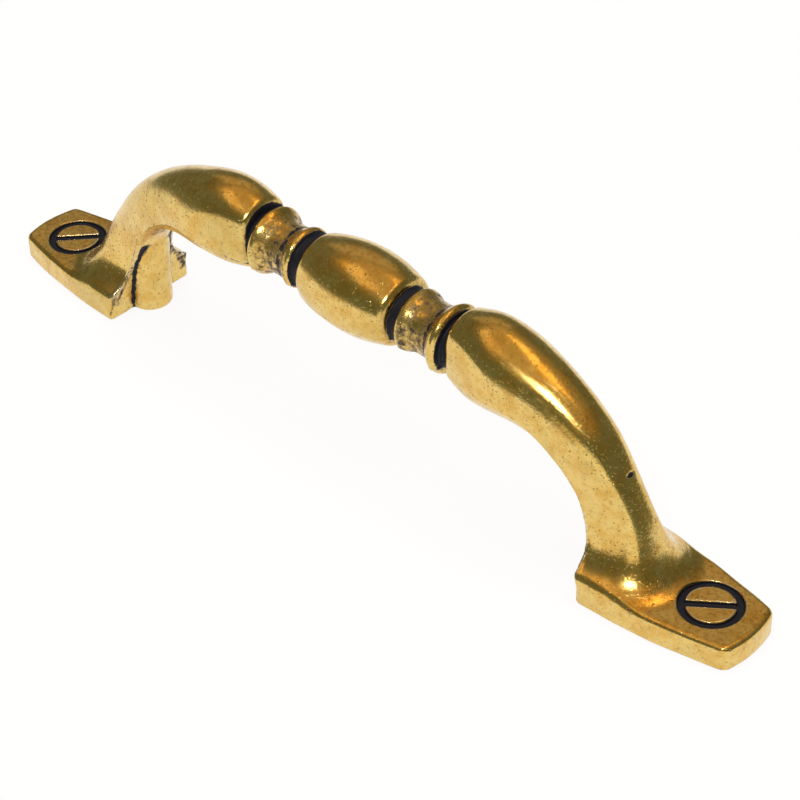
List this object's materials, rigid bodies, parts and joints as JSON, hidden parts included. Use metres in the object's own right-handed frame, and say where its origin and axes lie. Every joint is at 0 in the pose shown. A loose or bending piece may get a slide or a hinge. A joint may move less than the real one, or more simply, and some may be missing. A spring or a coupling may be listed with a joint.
{
  "type": "cabinet handle",
  "caption": "Cast antique-brass cabinet pull: a turned, beaded bar on curved legs that flare into keystone feet with mock slotted screw heads, fixed from behind through tapped bosses.",
  "frame": {"origin": "centre of the mounting plane, midway between the two feet", "axes": "+X along the bar, +Y across it, +Z away from the mounting plane"},
  "size_m": [0.1158, 0.0134, 0.0264],
  "materials": {
    "brass": "polished antique brass with dark patina in the recesses"
  },
  "bodies": {
    "root": {"handle": "brass"}
  },
  "joints": []
}
